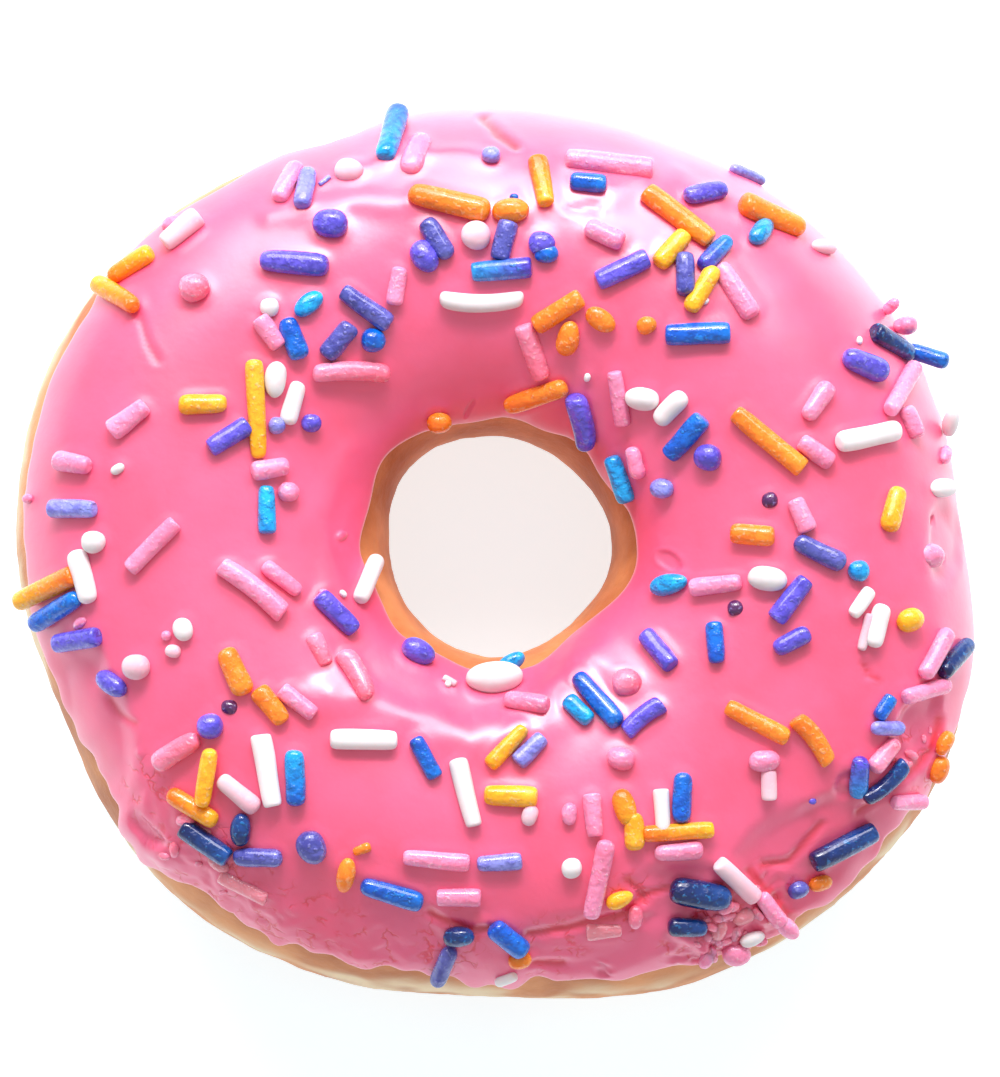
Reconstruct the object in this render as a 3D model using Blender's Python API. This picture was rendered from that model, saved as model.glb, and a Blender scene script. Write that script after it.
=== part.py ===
"""Sprinkle doughnut: an oval ring of raised dough, and the sheet of icing that caps it.

Metres, +Z up. The ring rests on its flattened base at Z = 0. Its longer side runs along X, and the
middle of its box is on the Z axis. Run with: blender --background --python part.py
"""

import math

import bpy
from mathutils import Matrix, Vector

MM = 0.001

# The dough ring, in millimetres.
CROWN_HEIGHT = 28.0  # base to the top of the dough
CROWN_SWAY = 0.5  # how much the crown rises and falls round the ring
WIDEST_HEIGHT = 13.0  # height of the widest line, on the rim and in the hole
BASE_SUNK = 1.2  # the round underside is pressed flat by this much
SECTION_POWER = 2.1  # 2 is an ellipse, and more is boxier

# Distances from the middle of the hole, in even steps round the ring from +X towards +Y.
RIM_RADII = (42.0, 41.2, 40.4, 39.7, 39.8, 40.8, 43.5, 44.9, 44.4, 43.1, 43.9, 42.8, 41.6, 43.9, 45.6, 45.8)
HOLE_RADII = (10.3, 9.9, 10.2, 10.7, 9.7, 9.6, 9.9, 9.6)

# The icing, in millimetres.
ICING_THICKNESS = 1.6
REST_GAP = 0.3  # kept between the dough and the icing that lies on it

# How far up the section the icing's two edges lie, in degrees above the widest line.
OUTER_EDGE_RISE = (-8, -14, -14, -10, 4, 27, 31, 30, 28, 24, 28, 31, 31, 29, 24, 22)
INNER_EDGE_RISE = (35, 27, 28, 27, 25, 25, 28, 32, 34, 34, 35, 33, 36, 31, 28, 33)

# Facets of each ring.
FACETS_AROUND = 72
DOUGH_FACETS_ACROSS = 32
ICING_FACETS_ACROSS = 36
EDGE_CROWDING = 0.5  # share of the icing's facets drawn towards its thin edges

DOUGH_COLOUR = (0.72, 0.36, 0.15, 1.0)
ICING_COLOUR = (0.95, 0.16, 0.32, 1.0)


def round_the_ring(values, heading):
    """Value at a heading, on a smooth closed curve through values in even steps round the ring."""
    count = len(values)
    place = heading / math.tau * count
    first = math.floor(place)
    along = place - first
    before, start, end, after = (values[(first + i) % count] for i in (-1, 0, 1, 2))
    bend = 2 * before - 5 * start + 4 * end - after
    twist = 3 * (start - end) + after - before
    return start + 0.5 * along * (end - before + along * (bend + along * twist))


def rounded(value):
    """Sine or cosine of a section angle, made boxier than a circle's."""
    return math.copysign(abs(value) ** (2 / SECTION_POWER), value)


def crown_height(heading):
    return CROWN_HEIGHT + CROWN_SWAY * math.sin(2 * heading + 0.6)


def dough_point(heading, rise):
    """Point of the dough in millimetres. Rise goes round the section: 0 on the rim, a quarter turn
    on the crown, a half turn in the hole and three quarters on the base."""
    rim = round_the_ring(RIM_RADII, heading)
    hole = round_the_ring(HOLE_RADII, heading)
    radius = (rim + hole) / 2 + (rim - hole) / 2 * rounded(math.cos(rise))
    upright = rounded(math.sin(rise))
    reach = crown_height(heading) - WIDEST_HEIGHT if upright > 0 else WIDEST_HEIGHT + BASE_SUNK
    height = max(WIDEST_HEIGHT + reach * upright, 0.0)
    return Vector((radius * math.cos(heading), radius * math.sin(heading), height))


def dough_normal(heading, rise):
    """Outward direction of the dough's surface, square to its two tangents."""
    step = 0.01
    across = dough_point(heading, rise + step) - dough_point(heading, rise - step)
    around = dough_point(heading + step, rise) - dough_point(heading - step, rise)
    return around.cross(across).normalized()


def icing_point(heading, turn):
    """Point of the icing in millimetres. Turn goes over its top from the outer edge to the inner
    one in the first half, and back underneath it in the second half."""
    over = turn <= math.pi
    half = turn if over else math.tau - turn
    share = (1 - EDGE_CROWDING) * half / math.pi + EDGE_CROWDING * (1 - math.cos(half)) / 2
    outer = math.radians(round_the_ring(OUTER_EDGE_RISE, heading))
    inner = math.pi - math.radians(round_the_ring(INNER_EDGE_RISE, heading))
    rise = outer + (inner - outer) * share
    thickness = ICING_THICKNESS * math.sqrt(math.sin(half)) if over else 0.0
    lift = REST_GAP + thickness
    return dough_point(heading, rise) + lift * dough_normal(heading, rise)


def ring(name, across, shape, colour, roughness):
    """A torus whose every vertex is moved to where shape puts its heading and section angle."""
    major = 1.0
    bpy.ops.mesh.primitive_torus_add(
        major_segments=FACETS_AROUND, minor_segments=across, major_radius=major, minor_radius=major / 3
    )
    made = bpy.context.object
    made.name = made.data.name = name
    for vertex in made.data.vertices:
        x, y, z = vertex.co
        heading = math.atan2(y, x)
        angle = math.atan2(z, math.hypot(x, y) - major) % math.tau
        vertex.co = shape(heading, angle) * MM
    made.data.shade_smooth()
    made.data.materials.append(principled(name, colour, roughness))
    return made


def principled(name, colour, roughness):
    material = bpy.data.materials.new(name)
    material.use_nodes = True
    shader = material.node_tree.nodes["Principled BSDF"]
    shader.inputs["Base Color"].default_value = colour
    shader.inputs["Roughness"].default_value = roughness
    return material


def centre_on_axis(pieces):
    """Slides the pieces together so that the middle of their box is on the Z axis."""
    points = [vertex.co for piece in pieces for vertex in piece.data.vertices]
    middle = [(min(p[i] for p in points) + max(p[i] for p in points)) / 2 for i in (0, 1)]
    for piece in pieces:
        piece.data.transform(Matrix.Translation((-middle[0], -middle[1], 0)))


def main():
    for old in list(bpy.data.objects):
        bpy.data.objects.remove(old)
    dough = ring("dough_ring", DOUGH_FACETS_ACROSS, dough_point, DOUGH_COLOUR, roughness=0.6)
    icing = ring("icing_cap", ICING_FACETS_ACROSS, icing_point, ICING_COLOUR, roughness=0.25)
    centre_on_axis([dough, icing])
    doughnut = bpy.data.collections.new("sprinkle_doughnut")
    bpy.context.scene.collection.children.link(doughnut)
    for piece in (dough, icing):
        for holder in list(piece.users_collection):
            holder.objects.unlink(piece)
        doughnut.objects.link(piece)


main()
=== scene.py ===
"""Looks of the sprinkle doughnut: fried dough, a sheet of glossy pink icing, and sugar strands.

The doughnut's form is worked out in millimetres and written to the meshes in metres. Plan places are
measured from the middle of the doughnut's box, +X to the right and +Y to the back. Headings are in
degrees, anticlockwise from +X.
"""

import logging
import math
import random
from collections.abc import Sequence
from dataclasses import dataclass
from enum import Enum
from typing import ClassVar

import bmesh
import bpy
import numpy as np
from mathutils import Matrix, Vector, noise
from mathutils.bvhtree import BVHTree


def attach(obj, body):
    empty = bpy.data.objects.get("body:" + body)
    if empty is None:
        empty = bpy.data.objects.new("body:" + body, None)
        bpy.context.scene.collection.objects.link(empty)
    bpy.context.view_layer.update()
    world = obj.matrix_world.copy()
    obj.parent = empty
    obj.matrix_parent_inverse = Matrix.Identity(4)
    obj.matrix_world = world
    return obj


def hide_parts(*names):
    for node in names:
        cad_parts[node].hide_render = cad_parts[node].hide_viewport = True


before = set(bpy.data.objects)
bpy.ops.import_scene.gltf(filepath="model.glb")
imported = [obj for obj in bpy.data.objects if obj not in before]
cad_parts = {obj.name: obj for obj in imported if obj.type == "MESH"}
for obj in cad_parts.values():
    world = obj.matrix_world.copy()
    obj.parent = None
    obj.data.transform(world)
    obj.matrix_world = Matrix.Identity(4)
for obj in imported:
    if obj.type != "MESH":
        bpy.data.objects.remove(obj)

LOG = logging.getLogger("doughnut")
MM = 0.001
Colour = tuple[float, float, float]
Place = tuple[float, float]


# ---- Form ----


def round_the_ring(values: Sequence[float], heading: np.ndarray) -> np.ndarray:
    """Reads a smooth closed curve through values in even steps round the ring.

    Args:
        values: The curve's height at each step, from +X towards +Y.
        heading: Where to read it, in radians.

    Returns:
        The curve's height at each heading.
    """
    steps = np.asarray(values, float)
    place = np.asarray(heading) / math.tau * len(steps)
    first = np.floor(place).astype(int)
    along = place - first
    before, start, end, after = (steps[(first + i) % len(steps)] for i in (-1, 0, 1, 2))
    bend = 2 * before - 5 * start + 4 * end - after
    twist = 3 * (start - end) + after - before
    return start + 0.5 * along * (end - before + along * (bend + along * twist))


def ripple(heading: np.ndarray, slowest: int, fastest: int, seed: int) -> np.ndarray:
    """Makes an uneven wave that closes on itself round the ring.

    Args:
        heading: Where to read it, in radians.
        slowest: Waves in one turn of its slowest part.
        fastest: Waves in one turn of its fastest part.
        seed: Picks the wave.

    Returns:
        A height of about -1 to 1 at each heading.
    """
    draw = random.Random(seed)
    total = np.zeros_like(heading)
    for waves in range(slowest, fastest + 1):
        total += draw.uniform(0.4, 1.0) * np.sin(waves * heading + draw.uniform(0, math.tau))
    return total / math.sqrt(fastest - slowest + 1)


def smooth_step(value: np.ndarray, low: float, high: float) -> np.ndarray:
    """Rises from 0 at low to 1 at high, with level ends."""
    share = np.clip((value - low) / (high - low), 0.0, 1.0)
    return share * share * (3 - 2 * share)


def grain(points: np.ndarray, size: float, seed: float, octaves: int = 1) -> np.ndarray:
    """Reads solid noise of about -1 to 1 at points, with features of a size in millimetres."""
    shift = Vector((seed * 17.3, seed * 5.9, seed * 31.7))
    return np.array([noise.fractal(Vector(p) / size + shift, 0.9, 2.0, octaves) for p in points])


@dataclass(frozen=True)
class RingForm:
    """The doughnut's form, from the same driving sizes as the solids it stands for."""

    crown_height: float = 28.0
    crown_sway: float = 0.5
    widest_height: float = 13.0
    base_sunk: float = 1.2
    section_power: float = 2.1
    icing_lift: float = 1.6
    rim_radii: tuple[float, ...] = (
        42.0, 41.2, 40.4, 39.7, 39.8, 40.8, 43.5, 44.9, 44.4, 43.1, 43.9, 42.8, 41.6, 43.9, 45.6, 45.8,
    )
    hole_radii: tuple[float, ...] = (10.3, 9.9, 10.2, 10.7, 9.7, 9.6, 9.9, 9.6)
    outer_edge_rise: tuple[float, ...] = (-8, -14, -14, -10, 4, 27, 31, 30, 28, 24, 28, 31, 31, 29, 24, 22)
    inner_edge_rise: tuple[float, ...] = (35, 27, 28, 27, 25, 25, 28, 32, 34, 34, 35, 33, 36, 31, 28, 33)
    middle: Place = (-0.33, -0.59)

    def rounded(self, value: np.ndarray) -> np.ndarray:
        """Sine or cosine of a section angle, made boxier than a circle's."""
        return np.sign(value) * np.abs(value) ** (2 / self.section_power)

    def point(self, heading: np.ndarray, rise: np.ndarray) -> np.ndarray:
        """Finds points on the dough.

        Args:
            heading: Directions round the ring, in radians.
            rise: Section angles: 0 on the rim, a quarter turn on the crown, a half turn in the hole.

        Returns:
            One row for each point, in millimetres.
        """
        rim = round_the_ring(self.rim_radii, heading)
        hole = round_the_ring(self.hole_radii, heading)
        radius = (rim + hole) / 2 + (rim - hole) / 2 * self.rounded(np.cos(rise))
        upright = self.rounded(np.sin(rise))
        crown = self.crown_height + self.crown_sway * np.sin(2 * heading + 0.6)
        reach = np.where(upright > 0, crown - self.widest_height, self.widest_height + self.base_sunk)
        height = np.maximum(self.widest_height + reach * upright, 0.0)
        across, along = self.middle
        return np.stack((radius * np.cos(heading) - across, radius * np.sin(heading) - along, height), -1)

    def normal(self, heading: np.ndarray, rise: np.ndarray) -> np.ndarray:
        """Finds the outward directions of the dough's surface, square to its two tangents.

        Args:
            heading: Directions round the ring, in radians.
            rise: Section angles, as for point.

        Returns:
            One row of unit length for each point.
        """
        step = 0.01
        across = self.point(heading, rise + step) - self.point(heading, rise - step)
        around = self.point(heading + step, rise) - self.point(heading - step, rise)
        square = np.cross(around, across)
        return square / np.linalg.norm(square, axis=-1, keepdims=True)


FORM = RingForm()


# ---- Mesh tools ----


class RingMesh:
    """A closed ring of quads whose corners are moved to a form."""

    MAJOR = 3.0

    def __init__(self, around: int, across: int) -> None:
        """Spins a circle into a ring.

        Args:
            around: Steps round the ring.
            across: Corners of the circle.
        """
        ring = bmesh.new()
        upright = Matrix.Translation((self.MAJOR, 0, 0)) @ Matrix.Rotation(math.pi / 2, 4, "X")
        bmesh.ops.create_circle(ring, segments=across, radius=1.0, matrix=upright)
        bmesh.ops.spin(
            ring, geom=ring.edges[:], cent=(0, 0, 0), axis=(0, 0, 1), angle=math.tau, steps=around,
            use_merge=True,
        )
        self.ring = ring
        corners = np.array([v.co for v in ring.verts])
        self.heading = np.arctan2(corners[:, 1], corners[:, 0])
        self.turn = np.arctan2(corners[:, 2], np.hypot(corners[:, 0], corners[:, 1]) - self.MAJOR) % math.tau

    def finish(self, name: str, points: np.ndarray) -> bpy.types.Object:
        """Moves the corners to their points and makes the object.

        Args:
            name: The piece's name.
            points: One row of millimetres for each corner.

        Returns:
            The new object, smooth and with its faces outwards.
        """
        for corner, point in zip(self.ring.verts, points):
            corner.co = point * MM
        return object_from(self.ring, name)


def object_from(shape: bmesh.types.BMesh, name: str) -> bpy.types.Object:
    """Turns a finished bmesh into a smooth object at the origin.

    Args:
        shape: The bmesh, which is used up.
        name: The object's name.

    Returns:
        The object, with its faces outwards.
    """
    bmesh.ops.recalc_face_normals(shape, faces=shape.faces[:])
    mesh = bpy.data.meshes.new(name)
    shape.to_mesh(mesh)
    shape.free()
    mesh.shade_smooth()
    piece = bpy.data.objects.new(name, mesh)
    bpy.context.scene.collection.objects.link(piece)
    return piece


def seat(piece: bpy.types.Object, slot: str, *stands_for: str) -> None:
    """Fixes a piece to the doughnut's one body and hides the nodes it stands for.

    Args:
        piece: The finished piece.
        slot: Not used.
        stands_for: The nodes, if any.
    """
    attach(piece, "root")
    if stands_for:
        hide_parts(*stands_for)
    LOG.info("%s: %d faces", piece.name, len(piece.data.polygons))


# ---- Relief of the icing ----


def off_line(places: np.ndarray, line: Sequence[Place]) -> np.ndarray:
    """Measures how far plan places lie from a line.

    Args:
        places: One row of X and Y for each place, in millimetres.
        line: The line's corners.

    Returns:
        The distance of each place from the line's nearest point.
    """
    nearest = np.full(len(places), np.inf)
    for start, end in zip(line, line[1:]):
        first = np.asarray(start, float)
        run = np.asarray(end, float) - first
        share = np.clip((places - first) @ run / (run @ run), 0.0, 1.0)
        away = places - first - share[:, None] * run
        nearest = np.minimum(nearest, np.hypot(away[:, 0], away[:, 1]))
    return nearest


@dataclass(frozen=True)
class Ridge:
    """A soft swell of icing along a line, or a trough where its height is below zero."""

    height: float
    width: float
    line: tuple[Place, ...]

    def lift(self, places: np.ndarray) -> np.ndarray:
        """Height added at plan places, in millimetres."""
        return self.height * np.exp(-((off_line(places, self.line) / self.width) ** 2))


@dataclass(frozen=True)
class Crack:
    """A narrow split in the icing, with a lip on both sides."""

    depth: float
    width: float
    line: tuple[Place, ...]

    def lift(self, places: np.ndarray) -> np.ndarray:
        """Height added at plan places, in millimetres."""
        away = off_line(places, self.line) / self.width
        return self.depth * (0.2 * np.exp(-((away - 1.9) ** 2)) - np.exp(-(away**2)))


@dataclass(frozen=True)
class Dent:
    """A flat or hollow patch with a rim: long and wide as given, turned to a heading."""

    x: float
    y: float
    heading: float
    length: float
    width: float
    depth: float
    rim: float = 0.0

    def lift(self, places: np.ndarray) -> np.ndarray:
        """Finds the height added at plan places.

        Args:
            places: One row of X and Y for each place, in millimetres.

        Returns:
            The height at each place, in millimetres.
        """
        turn = math.radians(self.heading)
        away = places - (self.x, self.y)
        along = (away[:, 0] * math.cos(turn) + away[:, 1] * math.sin(turn)) / self.length
        aside = (away[:, 1] * math.cos(turn) - away[:, 0] * math.sin(turn)) / self.width
        reach = 2 * np.hypot(along, aside)
        rim = self.rim * np.exp(-(((reach - 1.2) / 0.2) ** 2))
        return rim - self.depth * (1 - smooth_step(reach, 0.6, 1.1))


@dataclass(frozen=True)
class Rubble:
    """A patch where the icing has broken into crumbs."""

    x: float
    y: float
    reach: float
    height: float

    def share(self, places: np.ndarray) -> np.ndarray:
        """How broken the icing is at plan places, from 0 to 1."""
        away = np.hypot(places[:, 0] - self.x, places[:, 1] - self.y)
        return 1 - smooth_step(away, 0.4 * self.reach, self.reach)

    def lift(self, places: np.ndarray) -> np.ndarray:
        """Finds the height added at plan places.

        Args:
            places: One row of X and Y for each place, in millimetres.

        Returns:
            The height at each place, in millimetres.
        """
        share = self.share(places)
        near = np.flatnonzero(share)
        lumps = np.zeros(len(places))
        lumps[near] = grain(np.column_stack((places[near], np.zeros(len(near)))), 1.0, 6.0, 3)
        return self.height * lumps * share


RELIEF = (
    Ridge(0.9, 2.2, ((-14, -14.5), (-8, -16.5), (-2, -18.5), (4, -16.5), (9, -11))),
    Ridge(0.3, 1.2, ((-20, 29), (-13, 30.5), (-8, 30))),
    Ridge(0.3, 1.1, ((-12, 34), (-7, 35.5), (-2, 35))),
    Ridge(0.3, 1.4, ((11, 31), (17, 33), (23, 30.5))),
    Ridge(0.35, 1.0, ((-33.5, -25), (-31.5, -27.5), (-29.5, -28.5))),
    Ridge(0.25, 1.2, ((-14, -4), (-16, 2), (-13, 8))),
    Ridge(-0.12, 3.0, ((-14, 37.5), (-4, 39.5), (6, 39.5), (16, 37.5))),
    Ridge(-0.25, 3.0, ((41.5, -14), (43, -6), (43, 4))),
    Crack(0.35, 0.5, ((-0.5, 39.5), (0.5, 37.5), (2, 36))),
    Crack(0.12, 0.35, ((-32, 20.5), (-31.5, 18.5), (-30, 16))),
    Crack(0.15, 0.3, ((-34.5, -14.5), (-33, -16), (-32, -17))),
    Crack(0.3, 0.35, ((-5.5, -33.5), (-1.5, -35), (0, -35))),
    Crack(0.3, 0.35, ((3, -35.5), (5.5, -35), (8, -34.5), (12, -33.5), (13.5, -32), (15.5, -31.5))),
    Crack(0.25, 0.3, ((3.5, -38), (6.5, -38))),
    Crack(0.25, 0.3, ((12, -30.5), (13.5, -32.5))),
    Crack(0.3, 0.35, ((23, -30), (25.5, -32.5), (27, -34))),
    Crack(0.25, 0.35, ((24, -29.5), (27, -29), (30, -26))),
    Crack(0.25, 0.35, ((33, -24.5), (36, -22.5), (39.5, -19), (40.5, -16))),
    Crack(0.2, 0.3, ((33, -11.5), (33.5, -12.5), (34.5, -13))),
    *(Dent(*row) for row in (
        (8, 29.5, -5, 3.4, 0.9, 0.12, 0.06), (16, -2, -25, 2.6, 1.2, 0.2, 0.06),
        (-31, -26, -42, 5, 1.4, 0.4), (41, 0, 85, 8, 4, 0.5), (40, 2, 0, 0.8, 0.8, 0.4, 0.05),
        (41, -1.5, 0, 0.8, 0.8, 0.4, 0.05), (-36, -16, -72, 16, 7, 0.5), (28.5, -28, 30, 18, 9, 0.8),
        (-11, -34, -20, 16, 7, 0.35), (8, -36, 5, 15, 6, 0.35), (16, -32, 10, 12, 6, 0.5),
        (38, -17, 65, 9, 4, 0.6), (32, -22, 45, 3, 2.5, 0.5), (10, -38.5, 0, 1.0, 1.0, 0.3, 0.1),
        (33.5, -12, 70, 2.5, 1.2, 0.2, 0.05), (-2, 12.5, 50, 1.4, 0.5, 0.2, 0.05),
        (-13.5, 0.5, 0, 0.9, 0.9, -0.25), (-1, -34, 0, 1.6, 1.2, -0.25), (-31.5, -19.5, 0, 0.7, 0.7, -0.25),
    )),
    *(Rubble(*row) for row in (
        (21.5, -34.5, 5.5, 0.6), (17.5, -36.5, 3.5, 0.4), (-17, -34.5, 5.0, 0.12), (-22, -32, 5.5, 0.18),
        (-27, -28, 5.0, 0.18), (-11, -37, 5.0, 0.12), (-4, -36.5, 4.5, 0.1), (5, -37, 4.5, 0.1),
        (12.5, -33, 4.0, 0.12), (-31, -22.5, 3.5, 0.1), (38, -20, 3.5, 0.15), (25, -31.5, 3.5, 0.3),
    )),
)


# ---- Finishes ----


class Wire:
    """A shader socket that can be used in sums like a number."""

    def __init__(self, bench: "Bench", socket: bpy.types.NodeSocket) -> None:
        """Holds an output socket and the bench its nodes stand on."""
        self.bench = bench
        self.socket = socket

    def maths(self, operation: str, *values: "Wire | float") -> "Wire":
        """Adds one Math node.

        Args:
            operation: The node's operation.
            values: Its inputs, in order.

        Returns:
            The node's output.
        """
        return self.bench.add("ShaderNodeMath", {"operation": operation}, dict(enumerate(values)))

    def __add__(self, other: "Wire | float") -> "Wire":
        """This plus other."""
        return self.maths("ADD", self, other)

    def __radd__(self, other: float) -> "Wire":
        """Other plus this."""
        return self.maths("ADD", other, self)

    def __sub__(self, other: "Wire | float") -> "Wire":
        """This less other."""
        return self.maths("SUBTRACT", self, other)

    def __rsub__(self, other: float) -> "Wire":
        """Other less this."""
        return self.maths("SUBTRACT", other, self)

    def __mul__(self, other: "Wire | float") -> "Wire":
        """This times other."""
        return self.maths("MULTIPLY", self, other)

    def __rmul__(self, other: float) -> "Wire":
        """Other times this."""
        return self.maths("MULTIPLY", other, self)

    def step(self, low: float, high: float) -> "Wire":
        """Rises smoothly from 0 where this is low to 1 where it is high."""
        values = {"Value": self, "From Min": low, "From Max": high}
        return self.bench.add("ShaderNodeMapRange", {"interpolation_type": "SMOOTHSTEP"}, values)


class Bench:
    """The node tree of one material, with its Principled shader."""

    def __init__(self, name: str) -> None:
        """Makes the material and finds its shader and the Object coordinates.

        Args:
            name: The material's name.
        """
        self.material = bpy.data.materials.new(name)
        self.material.use_nodes = True
        self.tree = self.material.node_tree
        self.shader = self.tree.nodes["Principled BSDF"]
        self.place = self.add("ShaderNodeTexCoord", output="Object")

    def add(
        self,
        kind: str,
        settings: dict[str, object] | None = None,
        values: dict[str | int, object] | None = None,
        output: str | int = 0,
    ) -> Wire:
        """Adds a node.

        Args:
            kind: The node's type.
            settings: Its own settings, made before its sockets are filled.
            values: A number, colour or wire for each named or numbered input socket.
            output: The output socket to hand back.

        Returns:
            The output, as a wire.
        """
        node = self.tree.nodes.new(kind)
        for setting, value in (settings or {}).items():
            setattr(node, setting, value)
        for socket, value in (values or {}).items():
            self.fill(node.inputs[socket], value)
        return Wire(self, node.outputs[output])

    def fill(self, socket: bpy.types.NodeSocket, value: object) -> None:
        """Links a wire to an input socket, or sets the socket's own value.

        Args:
            socket: The input socket.
            value: A number, colour or wire.
        """
        if isinstance(value, Wire):
            self.tree.links.new(value.socket, socket)
        elif isinstance(value, tuple) and len(value) == 3 and socket.type == "RGBA":
            socket.default_value = (*value, 1.0)
        else:
            socket.default_value = value

    def set(self, **values: object) -> None:
        """Fills the shader's sockets, whose names are written with underscores."""
        for name, value in values.items():
            self.fill(self.shader.inputs[name.replace("_", " ")], value)

    def noise(self, size: float, detail: float = 2.0, roughness: float = 0.5, seed: float = 0.0) -> Wire:
        """Makes noise from 0 to 1.

        Args:
            size: The size of its features, in millimetres.
            detail: How many finer layers it has.
            roughness: How strong they are.
            seed: Picks the noise.

        Returns:
            The noise.
        """
        moved = self.add("ShaderNodeVectorMath", {"operation": "ADD"}, {0: self.place, 1: (seed, seed, seed)})
        values = {"Vector": moved, "Scale": 1 / (size * MM), "Detail": detail, "Roughness": roughness}
        return self.add("ShaderNodeTexNoise", None, values)

    def mix(
        self, share: Wire | float, first: Wire | Colour, second: Wire | Colour, blend: str = "MIX"
    ) -> Wire:
        """Mixes two colours.

        Args:
            share: How much of the second, from 0 to 1.
            first: A colour or wire.
            second: A colour or wire.
            blend: How the second is laid on the first.

        Returns:
            The mixed colour.
        """
        settings = {"data_type": "RGBA", "blend_type": blend}
        return self.add("ShaderNodeMix", settings, {0: share, 6: first, 7: second}, output=2)

    def bump(self, height: Wire, depth: float, under: Wire | None = None) -> Wire:
        """Makes a normal from a height.

        Args:
            height: The height, from 0 to 1.
            depth: The depth that 1 stands for, in millimetres.
            under: The normal that it is laid on, if any.

        Returns:
            The normal.
        """
        values = {"Height": height, "Distance": depth * MM}
        if under is not None:
            values["Normal"] = under
        return self.add("ShaderNodeBump", None, values)


@dataclass(frozen=True)
class IcingFinish:
    """Glossy sugar icing, a little clear, in uneven patches of deeper pink, with painted shade on its low
    sides and in its cracks.
    """

    pink: Colour = (0.86, 0.115, 0.25)
    # Deeper pink: uneven patches, and painted shade on the low sides.
    deep: Colour = (0.84, 0.092, 0.2)
    # Painted shade in the cracks and in the lines between crumbs.
    crack_shade: Colour = (0.78, 0.035, 0.085)

    def make(self) -> bpy.types.Material:
        """Builds the material.

        Returns:
            The material.
        """
        bench = Bench("icing_pink")
        cloud = bench.noise(9.0, detail=3.0).step(0.35, 0.7)
        ripples = bench.noise(2.4, detail=3.0, seed=0.3)
        specks = bench.noise(0.5, detail=1.0, seed=0.7)
        split = bench.add("ShaderNodeAttribute", {"attribute_name": "split"}, output="Fac")
        broken = bench.add("ShaderNodeAttribute", {"attribute_name": "broken"}, output="Fac")
        veins = broken * self.veins(bench)
        # Below about 12 to 22 mm the icing takes the deeper pink as painted shade; the cloud patches are
        # uneven tone.
        high_up = bench.add("ShaderNodeSeparateXYZ", None, {0: bench.place}, output="Z").step(0.012, 0.022)
        shade = cloud.maths("MAXIMUM", cloud, 1 - high_up)
        whole = bench.mix(shade, self.pink, self.deep)
        # Cracks and the lines between crumbs are painted in the dark crack shade.
        shaded_splits = split.maths("MAXIMUM", split, veins)
        bench.set(
            Base_Color=bench.mix(shaded_splits, whole, self.crack_shade),
            Roughness=0.32 + 0.08 * specks,
            Subsurface_Weight=0.3,
            Subsurface_Radius=(1.0, 0.3, 0.35),
            Subsurface_Scale=0.8 * MM,
            Specular_IOR_Level=0.35,
            Coat_Weight=0.25 + 0.75 * high_up,
            Coat_Roughness=0.31,
            Coat_IOR=1.6,
            Normal=bench.bump(1 - veins, 0.06, bench.bump(specks, 0.012, bench.bump(ripples, 0.07))),
        )
        return bench.material

    def veins(self, bench: Bench) -> Wire:
        """Draws thin lines between crumbs, which the finish paints in the dark crack shade.

        Args:
            bench: The icing's bench.

        Returns:
            1 on a line and 0 off it.
        """
        stir = bench.add("ShaderNodeTexNoise", None, {"Vector": bench.place, "Scale": 700.0}, output="Color")
        swirl = bench.add("ShaderNodeVectorMath", {"operation": "SCALE"}, {0: stir, "Scale": 2.4 * MM})
        moved = bench.add("ShaderNodeVectorMath", {"operation": "ADD"}, {0: bench.place, 1: swirl})
        values = {"Vector": moved, "Scale": 1 / (1.9 * MM)}
        edge = bench.add("ShaderNodeTexVoronoi", {"feature": "DISTANCE_TO_EDGE"}, values, output="Distance")
        some = bench.noise(1.8, detail=1.0, seed=0.5).step(0.47, 0.6)
        return (1 - edge.step(0.0, 0.11)) * some


@dataclass(frozen=True)
class DoughFinish:
    """Soft fried crust: golden brown above and below, with a pale belt round the rim."""

    brown: Colour = (0.48, 0.145, 0.04)
    golden: Colour = (0.74, 0.30, 0.105)
    cream: Colour = (0.82, 0.61, 0.38)

    def make(self) -> bpy.types.Material:
        """Builds the material.

        Returns:
            The material.
        """
        bench = Bench("dough_crust")
        height = bench.add("ShaderNodeSeparateXYZ", None, {0: bench.place}, output="Z")
        plan = {0: bench.place, 1: (1.0, 1.0, 0.0)}
        level = bench.add("ShaderNodeVectorMath", {"operation": "MULTIPLY"}, plan)
        reach = bench.add("ShaderNodeVectorMath", {"operation": "LENGTH"}, {0: level}, output="Value")
        cloud = bench.noise(7.0, detail=4.0)
        uneven = height + 0.006 * cloud
        belt = (uneven.step(0.008, 0.012) - uneven.step(0.0185, 0.0225)) * reach.step(0.024, 0.028)
        crust = bench.mix(cloud.step(0.3, 0.7), self.brown, self.golden)
        patches = bench.noise(10.0, detail=2.0, seed=0.9).step(0.46, 0.60)
        pores = bench.noise(0.9, detail=4.0, roughness=0.6, seed=0.2)
        bench.set(
            Base_Color=bench.mix(belt * patches, crust, self.cream),
            Roughness=0.5 + 0.15 * pores,
            Subsurface_Weight=0.15,
            Subsurface_Radius=(1.0, 0.5, 0.25),
            Subsurface_Scale=1.5 * MM,
            Normal=bench.bump(pores, 0.12),
        )
        return bench.material


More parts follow.
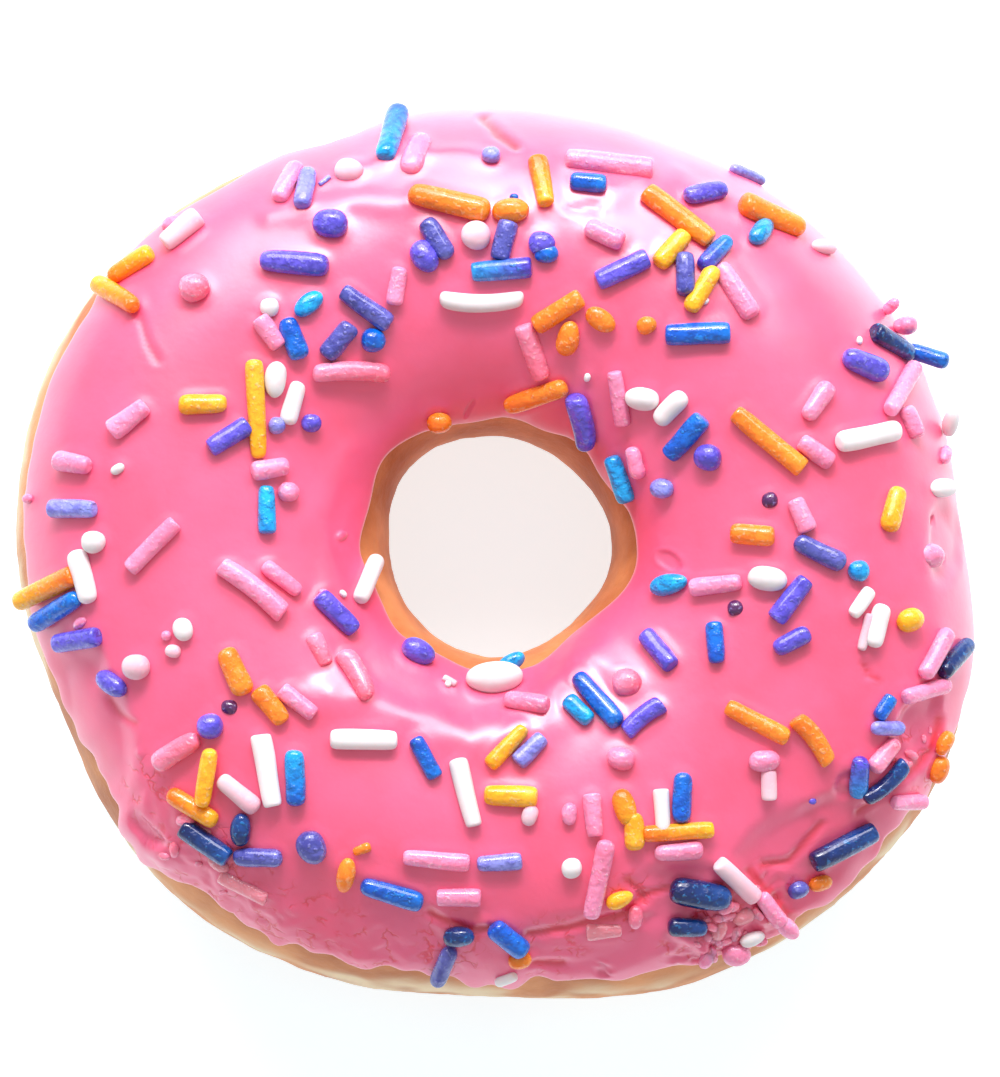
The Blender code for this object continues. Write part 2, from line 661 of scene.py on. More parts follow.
@dataclass(frozen=True)
class SugarFinish:
    """Boiled sugar in the strand's own dye: mottled, a little clear, more or less shiny, and with pale specks
    painted as glints.
    """

    name: str
    dark: Colour
    # The pale colour, mixed in at the specks' strength, is painted as glints.
    pale: Colour
    mottle: float
    specks: float
    roughness: float
    coat: float
    clear: float
    dimples: float

    def make(self) -> bpy.types.Material:
        """Builds the material.

        Returns:
            The material.
        """
        bench = Bench(f"sugar_{self.name}")
        dye = bench.add("ShaderNodeVertexColor", {"layer_name": "tint"}, output="Color")
        cloud = bench.noise(0.8, detail=2.0).step(0.3, 0.75)
        # Pale specks painted into the colour stand in for glints of light.
        glint_specks = bench.noise(0.45, detail=1.0, seed=0.4).step(0.58, 0.72)
        deeper = bench.mix(self.mottle * cloud, dye, bench.mix(1.0, dye, self.dark, "MULTIPLY"))
        bench.set(
            Base_Color=bench.mix(self.specks * glint_specks, deeper, self.pale),
            Roughness=self.roughness + 0.1 * cloud,
            Specular_IOR_Level=0.15,
            Subsurface_Weight=self.clear,
            Subsurface_Radius=(1.0, 0.6, 0.5),
            Subsurface_Scale=0.6 * MM,
            Coat_Weight=self.coat,
            Coat_Roughness=0.09,
            Coat_IOR=1.6,
            Normal=bench.bump(cloud, self.dimples, bench.bump(glint_specks, 0.5 * self.dimples)),
        )
        return bench.material


SUGARS = (
    SugarFinish("white", (0.93, 0.88, 0.9), (0.8, 0.79, 0.8), 0.3, 0.2, 0.45, 0.05, 0.4, 0.0),
    SugarFinish("pink", (1.0, 0.75, 0.8), (0.9, 0.6, 0.7), 0.5, 0.35, 0.24, 0.6, 0.5, 0.08),
    SugarFinish("orange", (1.0, 0.7, 0.5), (0.92, 0.6, 0.35), 0.6, 0.35, 0.24, 0.5, 0.4, 0.08),
    SugarFinish("blue", (0.5, 0.45, 0.6), (0.02, 0.38, 0.88), 0.8, 0.3, 0.16, 0.8, 0.05, 0.13),
    SugarFinish("violet", (0.5, 0.45, 0.7), (0.4, 0.4, 0.9), 0.8, 0.3, 0.18, 0.8, 0.1, 0.13),
)


# ---- Pieces ----


@dataclass(frozen=True)
class Dough:
    """The fried dough ring."""

    around: int = 400
    across: int = 120
    blisters: float = 0.12
    sag: float = 0.25

    def build(self) -> bpy.types.Object:
        """Makes the ring's mesh and dresses it.

        Returns:
            The piece.
        """
        tube = RingMesh(self.around, self.across)
        points = FORM.point(tube.heading, tube.turn)
        normals = FORM.normal(tube.heading, tube.turn)
        relief = self.blisters * grain(points, 3.0, 1.0, 3) + self.sag * grain(points, 14.0, 2.0)
        resting = smooth_step(points[:, 2], 0.0, 2.0)
        points += normals * (relief * resting - self.sag * resting)[:, None]
        points[:, 2] = np.maximum(points[:, 2], 0.0)
        piece = tube.finish("dough", points)
        piece.data.materials.append(DoughFinish().make())
        seat(piece, "dough", "dough_ring")
        return piece


@dataclass(frozen=True)
class Icing:
    """The sheet of icing that caps the ring."""

    around: int = 640
    across: int = 132
    over_share: float = 0.92
    crowding: float = 0.5
    sunk: float = 0.2
    edge_roll: float = 1.0
    edge_share: float = 0.5
    degree_length: float = 0.28
    swell: float = 0.3
    dapple: float = 0.05
    wander: float = 0.5
    creep_height: float = 0.11
    creep_reach: float = 0.45
    outer_waver: float = 3.0
    inner_waver: float = 2.0
    least_ragged: float = 0.4
    front_ragged: float = 1.6

    def wandered(self, points: np.ndarray) -> np.ndarray:
        """Plan places of the corners, made to wander so that no mark's line is straight."""
        aside = np.column_stack((grain(points, 3.0, 7.0), grain(points, 3.0, 8.0)))
        return points[:, :2] + self.wander * aside

    def creep(self, places: np.ndarray) -> np.ndarray:
        """Draws the icing up a little round every strand.

        Args:
            places: One row of X and Y for each place, in millimetres.

        Returns:
            The height added at each place, in millimetres.
        """
        away = np.full(len(places), np.inf)
        for strand in every_strand():
            near = np.flatnonzero(np.hypot(*(places - (strand.x, strand.y)).T) < strand.length / 2 + 3)
            gap = off_line(places[near], strand.line) - strand.width / 2
            away[near] = np.minimum(away[near], gap)
        return self.creep_height * np.exp(-((np.maximum(away, 0.0) / self.creep_reach) ** 2))

    def build(self) -> bpy.types.Object:
        """Makes the icing's mesh and dresses it.

        Returns:
            The piece.
        """
        tube = RingMesh(self.around, self.across)
        heading = tube.heading
        place = tube.turn / math.tau
        over = place <= self.over_share
        half = np.where(over, place / self.over_share, (1 - place) / (1 - self.over_share))
        share = (1 - self.crowding) * half + self.crowding * (1 - np.cos(math.pi * half)) / 2
        ragged = self.least_ragged + self.front_ragged * smooth_step(-np.sin(heading), 0.2, 0.6)
        outer = round_the_ring(FORM.outer_edge_rise, heading) + self.outer_waver * ripple(heading, 5, 24, 4)
        outer += ragged * ripple(heading, 30, 95, 11)
        inner = 180 - round_the_ring(FORM.inner_edge_rise, heading)
        inner += self.inner_waver * ripple(heading, 4, 12, 9)
        rise = outer + (inner - outer) * share
        edge = np.minimum(rise - outer, inner - rise) * self.degree_length
        rolled = np.sqrt(1 - (1 - np.clip(edge / self.edge_roll, 0, 1)) ** 2)
        body = self.edge_share + (1 - self.edge_share) * np.sqrt(np.sin(math.pi * np.clip(half, 0, 1)))
        under = -self.sunk * np.sin(math.pi * np.clip(half, 0, 1))
        lift = np.where(over, FORM.icing_lift * rolled * body, under) - self.sunk * 0.5
        radians = np.radians(rise)
        points = FORM.point(heading, radians) + FORM.normal(heading, radians) * lift[:, None]
        waves = self.swell * grain(points, 13.0, 3.0) + self.dapple * grain(points, 4.5, 4.0)
        places = self.wandered(points)
        splits = sum(mark.lift(places) for mark in RELIEF if isinstance(mark, Crack))
        broken = sum(mark.share(places) for mark in RELIEF if isinstance(mark, Rubble))
        marks = splits + sum(mark.lift(places) for mark in RELIEF if not isinstance(mark, Crack))
        raised = waves + marks + self.creep(points[:, :2])
        points += FORM.normal(heading, radians) * (raised * np.where(over, rolled, 0.0))[:, None]
        piece = tube.finish("icing", points)
        # Masks that tell the finish where to paint the shade of the cracks and of the lines between crumbs.
        for mark, shares in (("split", -4.0 * splits), ("broken", broken)):
            values = np.clip(shares, 0.0, 1.0)
            piece.data.attributes.new(mark, "FLOAT", "POINT").data.foreach_set("value", values)
        piece.data.materials.append(IcingFinish().make())
        seat(piece, "icing", "icing_cap")
        return piece


# ---- Sugar strands ----


@dataclass(frozen=True)
class Dye:
    """A strand's colour at its two ends."""

    near: Colour
    far: Colour

    def at(self, share: float, strength: float) -> tuple[float, float, float, float]:
        """The colour a share of the way along, made lighter or darker by a strength."""
        mixed = [a + (b - a) * share for a, b in zip(self.near, self.far)]
        return (*(min(part * strength, 0.97) for part in mixed), 1.0)


class Shade(Enum):
    """The dyes of the sugar strands."""

    CHALK = Dye((0.82, 0.79, 0.79), (0.80, 0.76, 0.77))
    BLUSH = Dye((0.82, 0.62, 0.68), (0.84, 0.45, 0.55))
    ROSE = Dye((0.82, 0.30, 0.36), (0.80, 0.26, 0.33))
    PINK = Dye((0.90, 0.33, 0.54), (0.90, 0.25, 0.43))
    CORAL = Dye((0.95, 0.30, 0.46), (0.95, 0.18, 0.28))
    ORANGE = Dye((0.95, 0.22, 0.018), (0.95, 0.30, 0.03))
    AMBER = Dye((0.95, 0.18, 0.012), (0.95, 0.46, 0.02))
    YELLOW = Dye((0.95, 0.42, 0.012), (0.95, 0.52, 0.04))
    BLUE = Dye((0.001, 0.10, 0.62), (0.002, 0.18, 0.70))
    SKY = Dye((0.004, 0.36, 0.84), (0.01, 0.44, 0.86))
    TEAL = Dye((0.001, 0.11, 0.62), (0.004, 0.40, 0.84))
    NAVY = Dye((0.003, 0.01, 0.10), (0.006, 0.07, 0.30))
    TORN = Dye((0.015, 0.33, 0.80), (0.10, 0.05, 0.58))
    VIOLET = Dye((0.16, 0.12, 0.78), (0.11, 0.09, 0.62))
    LAVENDER = Dye((0.29, 0.29, 0.80), (0.27, 0.31, 0.80))
    DUSK = Dye((0.07, 0.08, 0.38), (0.13, 0.14, 0.50))
    PLUM = Dye((0.10, 0.02, 0.12), (0.12, 0.03, 0.12))


@dataclass(frozen=True)
class Bed:
    """The icing's surface as the strands find it, felt from straight above."""

    surface: BVHTree

    def feel(self, spot: Vector) -> tuple[Vector, Vector]:
        """Finds the icing under a spot, or nearest to it past the edge.

        Args:
            spot: A place in millimetres; only its X and Y matter.

        Returns:
            The place on the icing, and its outward direction.
        """
        above = Vector((spot.x, spot.y, 60.0)) * MM
        place, facing, _, _ = self.surface.ray_cast(above, Vector((0, 0, -1)))
        if place is None:
            nearest, facing, _, _ = self.surface.find_nearest(Vector((spot.x, spot.y, 22.0)) * MM)
            place = Vector((spot.x * MM, spot.y * MM, nearest.z))
        return place / MM, facing


@dataclass(frozen=True)
class Strand:
    """One piece of sugar: where it lies, in millimetres, and how it is bent and sunk."""

    BARREL: ClassVar[float] = 2.5
    PLUMP: ClassVar[float] = 0.53
    SHORT: ClassVar[float] = 1.75
    STEEPEST: ClassVar[float] = 0.9

    x: float
    y: float
    heading: float
    length: float
    width: float = 1.9
    bend: float = 0.0
    sunk: float = 0.28

    @property
    def line(self) -> tuple[Place, Place]:
        """The plan places of its two ends, drawn in to the middle of the rounding."""
        reach = max(self.length - self.width, 0.02) / 2
        turn = math.radians(self.heading)
        across = reach * math.cos(turn)
        along = reach * math.sin(turn)
        return (self.x - across, self.y - along), (self.x + across, self.y + along)

    def blank(self, draw: random.Random) -> bmesh.types.BMesh:
        """Makes the straight piece along X: a rod with eased ends, or a ball when it is short.

        Args:
            draw: Picks how far the ends are eased.

        Returns:
            The piece.
        """
        shape = bmesh.new()
        turn = Matrix.Rotation(math.pi / 2, 4, "Y")
        radius = self.width * self.PLUMP
        if self.length < self.SHORT * self.width:
            bmesh.ops.create_icosphere(shape, subdivisions=2, radius=radius)
            for corner in shape.verts:
                aside = math.hypot(corner.co.y, corner.co.z)
                corner.co *= radius / np.linalg.norm((corner.co.x, aside), ord=self.BARREL)
            stretch = Vector((self.length / self.width, 1.0, 1.0))
            bmesh.ops.scale(shape, vec=stretch, verts=shape.verts[:])
            return shape
        bmesh.ops.create_cone(
            shape, cap_ends=True, segments=8, radius1=radius, radius2=radius, depth=self.length, matrix=turn,
        )
        sides = [edge for edge in shape.edges if abs(edge.verts[0].co.x - edge.verts[1].co.x) > radius]
        bmesh.ops.subdivide_edges(shape, edges=sides, cuts=2)
        rims = [edge for edge in shape.edges if all(abs(v.co.x) > 0.49 * self.length for v in edge.verts)]
        bmesh.ops.bevel(
            shape, geom=rims, offset=radius * draw.choice((0.35, 0.5, 0.65)), segments=2, affect="EDGES",
            profile=0.5, material=-1,
        )
        return shape

    def shape(self, draw: random.Random) -> bmesh.types.BMesh:
        """Makes the piece along X, uneven as boiled sugar is, and bent.

        Args:
            draw: Picks its ends and lumps.

        Returns:
            The piece.
        """
        shape = self.blank(draw)
        taper = draw.uniform(-0.1, 0.1)
        seed = Vector((draw.uniform(0, 90), draw.uniform(0, 90), 0))
        for corner in shape.verts:
            share = 2 * corner.co.x / self.length
            lump = 1 + taper * share + 0.16 * noise.noise(corner.co / (0.7 * self.width) + seed)
            corner.co.y = corner.co.y * lump + self.bend * (1 - share * share)
            corner.co.z *= lump * 0.94
            corner.co.x *= 1 + 0.04 * noise.noise(corner.co.yzx + seed)
        return shape

    def frame(self, bed: Bed) -> Matrix:
        """Finds how the piece lies on the icing: sunk in, and tilted with it.

        Args:
            bed: The icing.

        Returns:
            The matrix that lays it there, in millimetres.
        """
        heading = math.radians(self.heading)
        along = Vector((math.cos(heading), math.sin(heading), 0.0))
        plan = Vector((self.x, self.y, 0))
        felt = [bed.feel(plan + along * (self.length * share)) for share in (-0.4, 0, 0.4)]
        rise = (felt[2][0].z - felt[0][0].z) / (0.8 * self.length)
        slope = max(-self.STEEPEST, min(self.STEEPEST, rise))
        level = max(felt[1][0].z, (felt[0][0].z + felt[2][0].z) / 2)
        run = Vector((along.x, along.y, slope))
        facing = sum((normal for _, normal in felt), Vector())
        facing = (facing - run * (facing.dot(run) / run.dot(run))).normalized()
        middle = Vector((self.x, self.y, level)) + facing * (0.5 - self.sunk) * self.width
        turned = Matrix((run, facing.cross(run.normalized()), facing)).transposed().to_4x4()
        return Matrix.Translation(middle) @ turned


def crumbs(*places: Place) -> tuple[Strand, ...]:
    """Specks of sugar, each about half a millimetre across."""
    return tuple(Strand(x, y, 30 * x, 0.7, 0.6) for x, y in places)


def strands(*rows: tuple[float, ...]) -> tuple[Strand, ...]:
    """Strands from rows in the order of their fields."""
    return tuple(Strand(*row) for row in rows)


def chips(count: int, line: Sequence[Place], spread: float, seed: int) -> tuple[Strand, ...]:
    """Scatters chips of broken icing along a line.

    Args:
        count: How many there are.
        line: The two ends of the line, in millimetres.
        spread: How far they stray from it.
        seed: Picks the scatter.

    Returns:
        The chips, half sunk in the icing.
    """
    draw = random.Random(seed)
    (x, y), (far_x, far_y) = line
    made = []
    for _ in range(count):
        share = draw.random()
        across = x + (far_x - x) * share + draw.gauss(0, spread)
        along = y + (far_y - y) * share + draw.gauss(0, spread)
        length = draw.uniform(0.6, 1.4)
        heading = draw.uniform(0, 180)
        width = length * draw.uniform(0.5, 0.8)
        made.append(Strand(across, along, heading, length, width, 0.0, 0.5))
    return tuple(made)


CHIPPED = (
    (26, ((18.5, -36), (25, -32.5)), 1.0, 31),
    (5, ((-29, -28), (-24, -31)), 0.5, 32),
    (5, ((37, -20.5), (40, -17)), 0.6, 34),
)

WHITE = {
    Shade.CHALK: strands(
        (-20, 20.5, 0, 1.7, 1.7), (-19.5, 14, 85, 3.2, 2.0), (-18, 12, 75, 4, 1.7),
        (-1, 21.5, 0, 7.5, 1.7, -0.6), (13.5, 12.5, -10, 3, 2.1), (16, 11.5, 45, 3.5),
        (33.5, 9, 15, 6, 2.0), (41.5, 11.5, 80, 2.2, 1.6), (40.5, 5, 10, 2.5, 1.7),
        (-33.5, 6, 30, 1.3, 0.9), (-35.5, -0.5, 0, 2, 2.0), (-36.5, -3.5, -75, 5, 2.0),
        (-27.5, -8.5, -70, 2.1, 1.8), (-11.5, -3.5, 70, 4.5, 1.7), (24.5, -4, -10, 3.5, 2.2),
        (-20, -21, -80, 6.5), (-11.5, -18.3, -1, 6, 1.9), (-2.4, -23, -76, 6.2, 1.7),
        (0.1, -12.8, 5, 5, 2.9), (15, -24.5, 93, 3.8, 1.5), (32.8, -6, 55, 3, 1.4), (34.2, -8, 75, 4, 1.8),
        (23.2, -35.5, 20, 2.3, 1.4), (7, -29.6, 0, 1.8, 1.8), (1.2, -39.2, 20, 1.9, 1.0),
    ) + crumbs((8.5, 14.5), (33, 18), (20.5, 24), (21.5, 23), (-13.5, -5), (-4, -13), (19, 21)),
    Shade.BLUSH: strands(
        (-28, 28, 40, 4.2, 2.2), (-1.5, 27, 0, 2.6, 2.6), (3.3, -25, 75, 1.9, 1.5), (30, 27, 0, 2.2, 1.4),
        (-13, 33.5, -10, 2.5, 2.2, 0, 0.5), (33.2, -8.6, 75, 3.4, 1.0), (-22.5, -23, -40, 4.5, 1.8),
        (21.7, -30.5, -42, 4.7, 1.7), (24.5, -22.2, 90, 2.7, 1.5), (-31.6, -11.7, 0, 2.4, 2.3),
        (-28.4, -10.4, 0, 1.4, 1.2), (-3.9, -12.8, -30, 1.4, 0.7),
    ),
}

PINK = {
    Shade.PINK: strands(
        (10.5, 34, -7, 8, 2.2, 0, 0.45), (-7, 35.2, 70, 4, 2.2, 0, 0.6), (-18.5, 32.3, 65, 4, 1.8),
        (-20, 18.2, -55, 3.3, 1.8), (-32.5, 10.5, 35, 4, 2.0), (-8.6, 22.5, 80, 3.5, 1.6),
        (10, 27, -25, 3.7), (11.4, 12.6, -80, 4.8, 1.5), (21.8, 22, -58, 5.8, 2.0, 0, 0.45),
        (29, 12, 55, 4, 1.8), (36.8, 13.8, 60, 5.6, 1.7), (37.6, 10.7, -65, 3, 1.7),
        (37.6, 19.8, 0, 1.9, 1.9), (36.2, 22, 40, 1.6, 1.2), (-37.5, 6.7, -15, 3.4),
        (-30.3, -1, 45, 6, 1.7), (-21.5, -5, -38, 7.2, 2.0, 0.3), (-18.9, -3.9, -38, 4.2, 1.5),
        (-20, 6, 10, 3.4, 1.8), (-18.4, 4, 0, 1.8, 1.8), (13, 7, -75, 3, 1.6), (28.8, 7.4, -35, 3.6, 1.8),
        (27.5, 1.7, -65, 3.2, 1.8), (20, -4.4, 5, 4.6, 1.7), (39.4, -1.3, 0, 2.2, 2.2, 0, 0.5),
        (-29, -9, 0, 0.9, 0.9), (-37, -7.6, 30, 1.3, 0.9, 0, 0.5), (-42, 4, 0, 0.9, 0.9),
        (-29.2, 29.2, 20, 1.9, 1.4, 0, 0.5), (3.1, -15, -10, 4, 1.8), (-17.3, -15, -38, 3.8, 1.6),
        (6.8, -24.9, 88, 2, 1.4), (8.9, -25, -85, 3.9, 1.7), (9.4, -30.6, 78, 7.1, 1.7),
        (11.4, -20, -20, 2.5, 2.1), (16.5, -28.1, 6, 4.4, 1.7), (39.6, -10.2, 60, 5.2, 1.8),
        (38.7, -13.5, 18, 4.6, 1.6), (24.1, -20.1, 5, 2.8, 2.0), (37.3, -23.3, 5, 3.2, 1.5),
        (24.9, -33, -52, 3.2, 1.6), (26.4, -34.6, -40, 2.2, 1.6), (21.8, -36.8, 0, 2.5, 2.1),
        (19.2, -37.2, 60, 2.1, 1.3), (-5, -28.9, -5, 6, 1.6), (-3, -32.1, 0, 4, 1.7),
        (41, 8.3, 70, 1.6, 1.2), (-15.2, -5, 0, 0.8, 0.7),
    ),
    Shade.ROSE: strands(
        (-24.5, -29.2, -30, 2.2, 1.3, 0, 0.6), (-22.3, -31.3, -27, 4.8, 1.6, 0, 0.6),
        (9.9, -35.2, 5, 3.2, 1.6, 0, 0.6), (-26.5, -26, -30, 3, 1.1, 0, 0.7),
        (22.5, -33.8, 20, 2.2, 1.6, 0, 0.6), (20.3, -35, 70, 1.8, 1.3, 0, 0.5),
    ),
    Shade.CORAL: strands(
        (-26.7, 22.3, 0, 2.7, 2.6), (-12.8, 14.8, 2, 6.9, 1.9, 0.3), (3.6, 16.8, -70, 4.9, 1.9, 0, 0.45),
        (-28, -19.2, 30, 4.6, 2.0), (-27.3, -25.2, 0, 1.6, 1.3), (-12.4, -12.6, -60, 5, 2.0, 0.4, 0.35),
        (-15.4, -10.2, -65, 3, 1.6, 0, 0.5), (12, -13, 0, 2.6, 2.5, 0, 0.5), (34.8, -19.4, 50, 3.5, 1.7),
        (12.7, -33.8, 90, 2, 1.4), (20.8, -33, 30, 1.6, 1.2, 0, 0.4),
    ) + tuple(chip for patch in CHIPPED for chip in chips(*patch)),
}

ORANGE = {
    Shade.ORANGE: strands(
        (-3.9, 30, -15, 7.6, 2.3), (1.6, 29.2, 5, 3.3, 2.2), (5.9, 20.2, 30, 4.9), (6.8, 17.9, 75, 3, 2.0),
        (9.7, 19.4, -35, 3), (13.8, 18.8, 20, 1.8, 1.6), (4, 13.3, 15, 5.7), (-5, 11.4, 0, 2, 2.0),
        (25.1, 29.4, -20, 6.2, 2.3), (16.6, 28.8, -38, 7.5, 2.1), (24.6, 8.4, -40, 8), (23.2, 0, -5, 4),
        (-22.9, -12.3, -65, 4.6, 2.2), (-19.7, -15.3, -52, 3.9, 1.9), (23.5, -16.7, -27, 6.3, 1.7),
        (28.3, -18.3, -52, 5, 1.8, 0.4), (40.5, -18, 60, 2.3, 1.6), (40, -20.3, 70, 2.5, 1.9),
        (29.3, -30.6, 15, 2.1, 1.5), (-13, -30.1, 78, 2.9, 1.7), (-11.6, -28, 20, 1.7, 0.9, 0, 0.5),
        (2.4, -37.5, 10, 2.1, 1.6),
    ),
    Shade.AMBER: strands(
        (4.4, 32, -80, 4.7, 1.8), (-39.9, -4.3, 200, 6, 2.0), (-26.6, -24.1, -30, 5.2, 1.8),
        (16.4, -26.4, 4, 6.5, 1.6), (-32.6, 25, 30, 4.5), (-33.9, 22.2, 144, 5),
        (11.7, -24.3, -75, 3.4, 2.0),
    ),
    Shade.YELLOW: strands(
        (-21.2, 11.4, 93, 9, 1.7), (-25.9, 11.7, 3, 4.4), (16, 25.7, 50, 4), (18.7, 22, 60, 4.8, 1.8),
        (35.7, 2.5, 75, 4.2), (-25.2, -21.5, 80, 5.2, 1.6, 0, -0.1), (1.2, -18.9, 48, 4.8, 1.5),
        (1.6, -23.3, -3, 4.8, 2.0), (37.1, -7.4, 20, 2.3, 2.1), (11.2, -32.3, 22, 2.5, 1.5),
        (12.5, -26.4, -88, 3.4, 1.9),
    ),
}

BLUE = {
    Shade.BLUE: strands(
        (8.6, 31.9, -5, 3.4), (1.9, 30.6, 0, 0.8, 0.7), (-17.9, 17.7, -70, 4, 2.0),
        (-10.8, 17.8, 0, 2.2, 2.2), (18.3, 18, 2, 5.9, 2.1), (17.4, 8.9, 47, 4.6, 2.0),
        (-39.1, -6.4, 25, 5.2), (39.5, 17, -18, 4.2, 1.8), (19.9, -9.6, 93, 3.8, 1.7),
        (16.8, -23.4, 88, 4.5, 1.8), (9.4, -14.7, -50, 6.1, 1.9), (-6, -19.9, -62, 4.1, 1.6),
        (-8.9, -31.7, -16, 5.8, 1.9), (1.4, -35.6, -38, 3.8, 2.1), (34.9, -15.2, 55, 2.5, 1.4),
        (4.8, 25.3, 0, 2.2, 1.8),
    ),
    Shade.SKY: strands(
        (-16.5, 20.8, 40, 3, 1.8), (24.1, 27.7, 50, 2.7, 1.8), (11.7, 5.8, -70, 4.4), (16, -4.2, 10, 3.2),
        (-20.3, 2.3, 92, 4.4, 1.7), (32.5, -3.2, 0, 1.9, 1.9), (7.6, -15.6, -45, 3.1, 1.7),
        (1.8, -11.1, 30, 2.8, 1.6),
    ),
    Shade.TEAL: strands((-9.1, 37, 258, 5.6, 2.2), (-17.5, -21.7, 92, 5.1)),
    Shade.TORN: strands((0.8, 23.9, 5, 5.5, 2.0), (19.9, 25.4, 230, 4, 1.8), (32.7, -21.3, 87, 3.6, 1.8)),
    Shade.NAVY: strands(
        (36, 18.1, -25, 4, 1.9), (-25.4, -27.1, -35, 5.2, 2.1), (-22.3, -26.1, 85, 2.8, 1.9),
        (18.4, -31.7, -10, 5.6, 2.6), (17.3, -34.7, -3, 3.6, 1.8), (34.9, -21.6, 42, 5.2, 1.6, -0.6),
        (31.3, -27.3, 28, 6.5, 2.2), (41.5, -10.4, 48, 4.2, 1.8), (-3, -35.4, 3, 2.8, 2.0),
    ),
}

VIOLET = {
    Shade.VIOLET: strands(
        (-17.8, 24.5, -6, 6.3, 2.2), (-14.6, 28.1, 0, 3.2, 2.6), (11.6, 23.8, 25, 5.2, 2.0),
        (-6.1, 25.1, -60, 3.1, 2.3), (4.4, 26.2, 0, 2.4, 2.2), (8.1, 11, -75, 4.6, 2.2, 0.3),
        (19.1, 31.3, 15, 4), (33.3, 15.6, -20, 4.3, 2.3), (19.3, 7, 0, 2.4, 2.4), (-33.8, -13, -35, 3, 2.0),
        (-25, -17.1, 0, 2.3, 2.3), (-37.1, -9, 5, 4.2), (-16.4, 10.3, 0, 1.7, 1.7), (-23.6, 8.8, 33, 4.2),
        (-14.1, -6.9, -44, 4.7, 1.9), (-6.9, -10.3, -25, 3.1, 2.2), (14.9, -10.2, -52, 4, 1.8),
        (13.5, -16.4, 38, 4.3, 1.8, 0.3), (26.5, -5.8, 52, 4.7, 1.9), (26.6, -9.5, 28, 3.6, 1.8),
        (28.5, -23.6, 0, 0.6, 0.6, 0, 0.45),
    ),
    Shade.LAVENDER: strands(
        (-16.9, 31.6, 83, 3.8, 1.8), (-15.2, 32.5, 40, 1.3, 0.5), (-19.4, 9.9, 0, 1.5, 1.5),
        (-0.2, 34.6, 0, 1.7, 1.7), (23.3, 34.3, -15, 3.2, 1.3), (15.4, 4.5, 0, 1.8, 1.8),
        (-37.5, 2.6, -4, 4.3, 1.8), (3.3, -19.2, 45, 3.4, 1.7), (35.1, -17, 3, 3, 1.4),
        (0.6, -29.1, 3, 4.1, 1.6),
    ),
    Shade.DUSK: strands(
        (-13.9, 17.6, 50, 3.9, 2.0), (-11.4, 20.6, -35, 5.4), (-5, 26.7, -57, 4.2), (1, 26.5, 75, 3.7, 2.0),
        (17.2, 23.4, 90, 4, 1.8), (29.1, -1.6, -25, 5), (-20.8, -28.5, -2, 4.4, 1.8),
        (-4.4, -38, 66, 3.6, 1.7), (27.3, -31.2, 20, 1.9, 1.6), (-16, -27.7, -60, 3, 2.5),
    ),
    Shade.PLUM: strands(
        (24.7, 3.1, 0, 1.5, 1.5, 0, 0.6), (21.6, -6.5, 0, 1.4, 1.4, 0, 0.6),
        (-23.4, -15.4, 0, 1.5, 1.4, 0, 0.65),
    ),
}

LAYOUT: dict[str, dict[Shade, tuple[Strand, ...]]] = {
    "white": WHITE,
    "pink": PINK,
    "orange": ORANGE,
    "blue": BLUE,
    "violet": VIOLET,
}


def every_strand() -> list[Strand]:
    """All the strands of all the families."""
    return [strand for family in LAYOUT.values() for rows in family.values() for strand in rows]


@dataclass(frozen=True)
class Sprinkles:
    """All the sugar strands of one family of colours, joined as one piece."""

    family: str
    finish: SugarFinish
    smoothing: int = 2

    def build(self, bed: Bed) -> bpy.types.Object:
        """Makes every strand, lays it on the icing and dresses the lot.

        Args:
            bed: The icing that the strands lie on.

        Returns:
            The joined piece.
        """
        draw = random.Random(f"sugar {self.family}")
        joined = bmesh.new()
        tints: list[float] = []
        for shade, rows in LAYOUT[self.family].items():
            for strand in rows:
                shape = strand.shape(draw)
                strength = draw.uniform(0.9, 1.08)
                for corner in shape.verts:
                    tints.extend(shade.value.at(corner.co.x / strand.length + 0.5, strength))
                placing = Matrix.Scale(MM, 4) @ strand.frame(bed)
                bmesh.ops.transform(shape, matrix=placing, verts=shape.verts[:])
                single = bpy.data.meshes.new("strand")
                shape.to_mesh(single)
                joined.from_mesh(single)
                shape.free()
                bpy.data.meshes.remove(single)
        piece = object_from(joined, f"sprinkles_{self.family}")
        piece.data.color_attributes.new("tint", "FLOAT_COLOR", "POINT").data.foreach_set("color", tints)
        smooth = piece.modifiers.new("smooth", "SUBSURF")
        smooth.levels = smooth.render_levels = self.smoothing
        piece.data.materials.append(self.finish.make())
        seat(piece, f"sprinkle_{self.family}")
        return piece


# ---- Studio ----


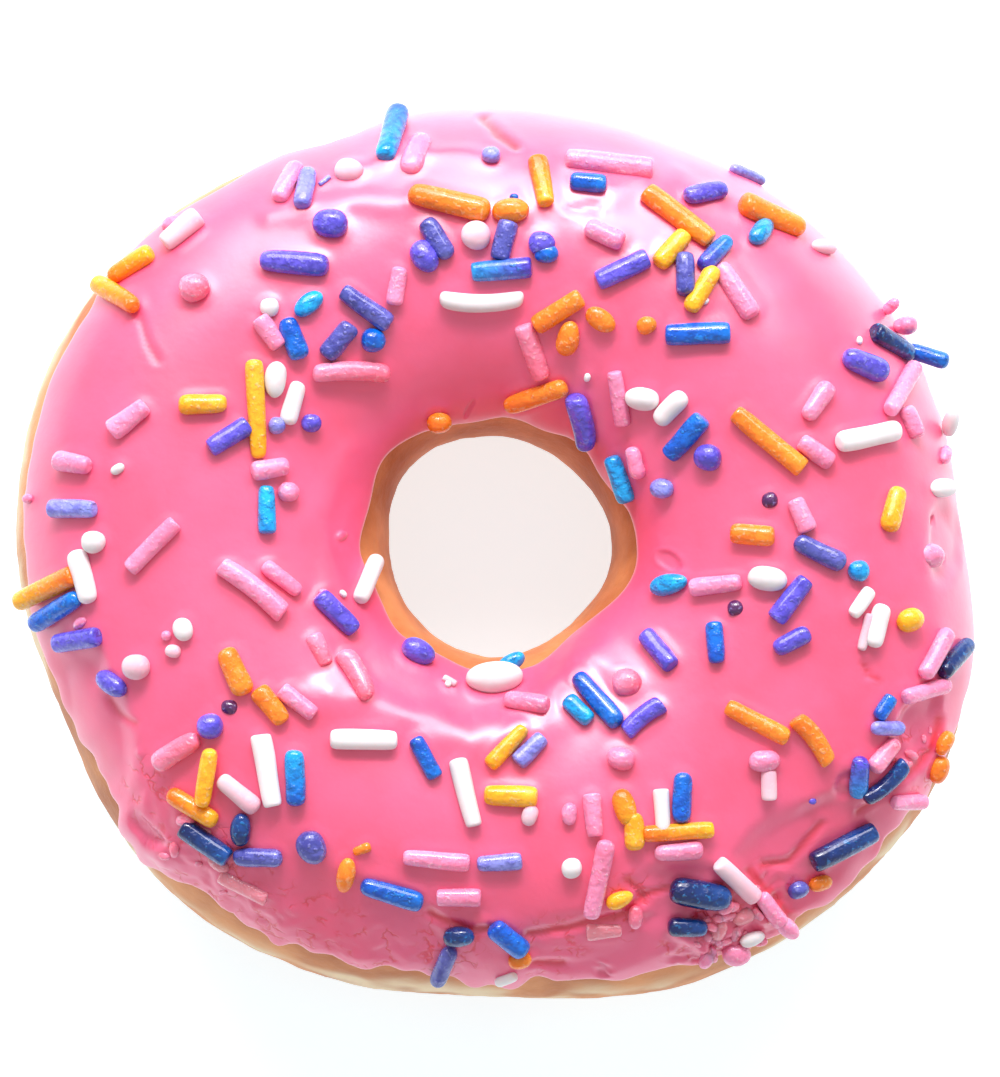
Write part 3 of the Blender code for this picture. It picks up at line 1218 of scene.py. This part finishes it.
@dataclass(frozen=True)
class Studio:
    """A pale floor, soft light from the back and above, and the camera."""

    floor_size: float = 4.0
    floor_colour: Colour = (0.60, 0.66, 0.70)
    floor_tone: Colour = (0.85, 0.96, 1.0)
    floor_glow: float = 0.70
    light_tone: Colour = (1.0, 0.95, 0.985)
    sky_strength: float = 0.6
    camera_elevation: float = 84.0
    camera_distance: float = 0.48
    camera_lens: float = 173.7
    aim: tuple[float, float, float] = (0.00064, 0.00143, 0.013)

    def build(self) -> None:
        """Makes the floor, the lights and the camera."""
        self.floor()
        self.softbox("back_light", (0.0, 0.50, 0.42), (0.78, 0.40), 6.7)
        self.softbox("small_light", (0.0, 0.44, 0.46), (0.16, 0.05), 1.6)
        self.sky()
        self.camera()
        bpy.context.scene.view_settings.view_transform = "Standard"

    def floor(self) -> None:
        """A plain pale floor under the base."""
        shape = bmesh.new()
        bmesh.ops.create_grid(shape, x_segments=1, y_segments=1, size=self.floor_size / 2)
        floor = object_from(shape, "floor")
        bench = Bench("floor_paper")
        bench.set(
            Base_Color=self.floor_colour,
            Roughness=0.7,
            Emission_Color=self.floor_tone,
            Emission_Strength=self.floor_glow,
        )
        floor.data.materials.append(bench.material)

    def softbox(self, name: str, place: tuple[float, float, float], size: Place, power: float) -> None:
        """Hangs a wide soft light that faces the doughnut.

        Args:
            name: The light's name.
            place: Where it hangs, in metres.
            size: Its two sides, in metres.
            power: Its power in watts.
        """
        light = bpy.data.lights.new(name, "AREA")
        light.shape = "RECTANGLE"
        light.size, light.size_y = size
        light.energy = power
        light.color = self.light_tone
        lamp = bpy.data.objects.new(name, light)
        lamp.location = place
        lamp.rotation_euler = (-Vector(place)).to_track_quat("-Z", "Y").to_euler()
        bpy.context.scene.collection.objects.link(lamp)

    def sky(self) -> None:
        """Even white light from all round."""
        world = bpy.data.worlds.new("studio")
        world.use_nodes = True
        sockets = world.node_tree.nodes["Background"].inputs
        sockets["Color"].default_value = (1.0, 1.0, 1.0, 1.0)
        sockets["Strength"].default_value = self.sky_strength
        bpy.context.scene.world = world

    def camera(self) -> None:
        """A long lens that looks almost straight down, a little from the front."""
        data = bpy.data.cameras.new("camera")
        data.lens = self.camera_lens
        data.clip_start = 0.01
        data.clip_end = 20.0
        camera = bpy.data.objects.new("camera", data)
        climb = math.radians(self.camera_elevation)
        back = Vector((0.0, -math.cos(climb), math.sin(climb)))
        camera.location = Vector(self.aim) + back * self.camera_distance
        camera.rotation_euler = (math.pi / 2 - climb, 0.0, 0.0)
        bpy.context.scene.collection.objects.link(camera)
        bpy.context.scene.camera = camera


def main() -> None:
    """Builds the doughnut and its studio."""
    logging.basicConfig(level=logging.INFO, format="%(name)s: %(message)s")
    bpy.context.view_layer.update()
    Dough().build()
    icing = Icing().build()
    bpy.context.view_layer.update()
    bed = Bed(BVHTree.FromObject(icing, bpy.context.evaluated_depsgraph_get()))
    for finish in SUGARS:
        Sprinkles(finish.name, finish).build(bed)
    LOG.info("%d strands of sugar", len(every_strand()))
    Studio().build()
    bpy.context.view_layer.update()


if __name__ == "__main__":
    main()
